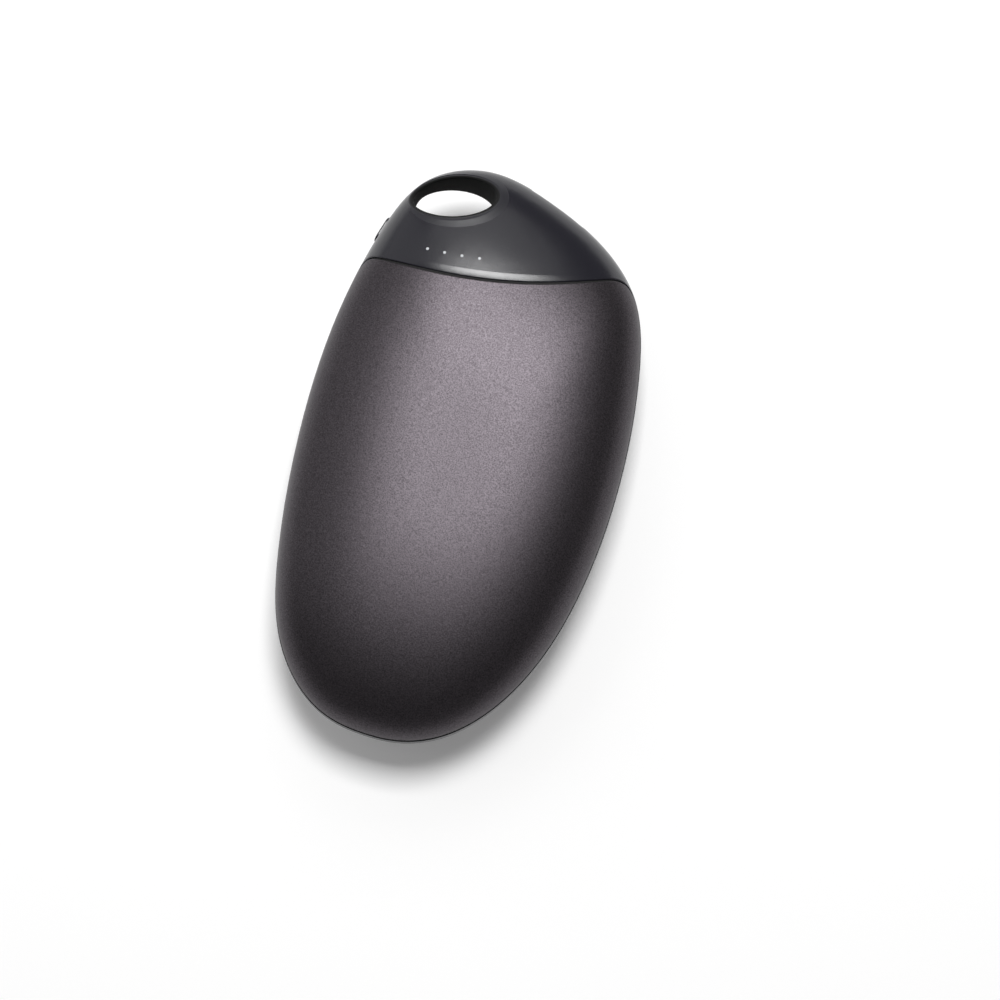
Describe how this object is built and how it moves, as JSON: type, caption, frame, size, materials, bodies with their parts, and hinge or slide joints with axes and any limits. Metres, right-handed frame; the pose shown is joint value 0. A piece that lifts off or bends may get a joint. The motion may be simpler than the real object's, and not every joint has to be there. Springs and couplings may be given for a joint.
{
  "type": "rechargeable hand warmer",
  "caption": "Pebble-shaped rechargeable hand warmer: metal covers on both faces, plastic cap with lanyard hole, indicator lights, USB sockets and a side power button.",
  "frame": {"origin": "middle of the outline's box, on the flat rear crown on which the object lies", "axes": "+X to the right seen from the front, +Y towards the cap, +Z out through the front cover"},
  "size_m": [0.0664, 0.12, 0.028],
  "materials": {
    "frame_plastic": "satin charcoal",
    "cover_metal": "bead blasted, anodised dark grey",
    "seal_rubber": "matt black",
    "heater_film": "amber film",
    "foam": "closed cell foam",
    "cell_can": "blue wrap",
    "insulating_paper": "white",
    "holder_plastic": "black",
    "nickel": "plain strip",
    "board": "green solder mask",
    "steel": "plated",
    "socket_plastic": "black",
    "contact_metal": "gold plated",
    "button_plastic": "satin charcoal",
    "plunger_plastic": "white",
    "led": "clear",
    "light_plastic": "milky",
    "chip_plastic": "dull black",
    "capacitor": "plain",
    "red_lead": "red",
    "black_lead": "black",
    "white_lead": "white"
  },
  "bodies": {
    "case": {"main_frame": "frame_plastic", "front_cover": "cover_metal", "rear_cover": "cover_metal", "front_seal": "seal_rubber", "rear_seal": "seal_rubber", "front_heater": "heater_film", "rear_heater": "heater_film", "front_foam_pad": "foam", "rear_foam_pad": "foam", "left_cell": "cell_can", "right_cell": "cell_can", "cell_insulators": "insulating_paper", "upper_cell_holder": "holder_plastic", "lower_cell_holder": "holder_plastic", "upper_nickel_strip": "nickel", "lower_nickel_strip": "nickel", "circuit_board": "board", "board_screws": "steel", "usb_a_shell": "steel", "usb_a_tongue": "socket_plastic", "usb_a_contacts": "contact_metal", "usb_c_shell": "steel", "usb_c_tongue": "socket_plastic", "usb_c_contacts": "contact_metal", "switch_body": "socket_plastic", "indicator_leds": "led", "light_guide": "light_plastic", "controller_chip": "chip_plastic", "power_inductor": "chip_plastic", "capacitors": "capacitor", "thermistor": "chip_plastic", "positive_lead": "red_lead", "negative_lead": "black_lead", "front_heater_leads": "white_lead", "rear_heater_leads": "white_lead"},
    "button": {"power_button": "button_plastic"},
    "plunger": {"switch_plunger": "plunger_plastic"}
  },
  "joints": [
    {"name": "power_button_press", "type": "slide", "parent": "case", "child": "button", "axis": [0.9532, -0.3025, 0], "range_m": [0, 0.00035], "stiffness_N_per_m": 3000},
    {"name": "switch_plunger_press", "type": "slide", "parent": "case", "child": "plunger", "axis": [0.9532, -0.3025, 0], "range_m": [0, 0.00035]}
  ],
  "couplings": [
    {"joint": "switch_plunger_press", "follows": "power_button_press", "ratio": 1}
  ]
}
